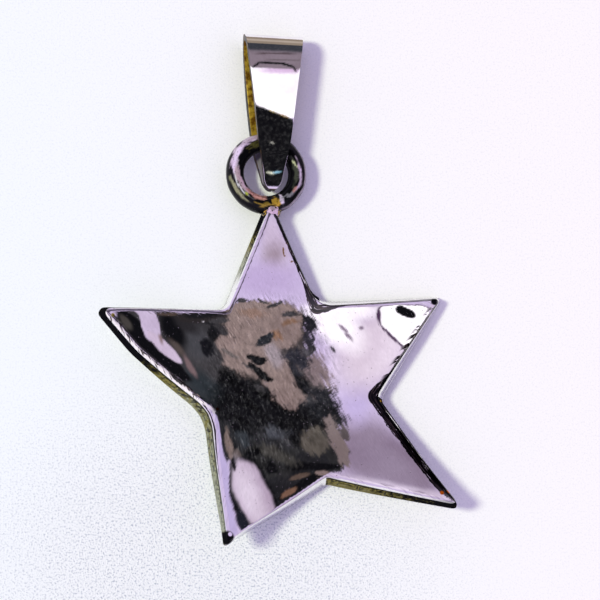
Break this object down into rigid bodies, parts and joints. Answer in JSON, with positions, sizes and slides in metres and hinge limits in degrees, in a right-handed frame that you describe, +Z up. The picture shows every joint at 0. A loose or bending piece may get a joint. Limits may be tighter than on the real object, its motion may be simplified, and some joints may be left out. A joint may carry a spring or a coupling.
{
  "type": "star pendant",
  "caption": "Dished hand-made silver star pendant with a soldered jump ring at its top point and a long tapered strap bail for a chain, lying face up.",
  "frame": {"origin": "middle of the bottom of the box round the whole pendant, on the surface that it lies on", "axes": "+Y from the star towards the bail, +Z up out of the star's face, +X to the star's right"},
  "size_m": [0.0254, 0.0364, 0.0043],
  "materials": {
    "star_silver": "polished sterling silver, finely scratched, darkened on the walls and the ring",
    "bail_silver": "polished sterling silver, brown-gold tarnish inside the loop"
  },
  "bodies": {
    "root": {"star": "star_silver", "bail": "bail_silver"}
  },
  "joints": []
}
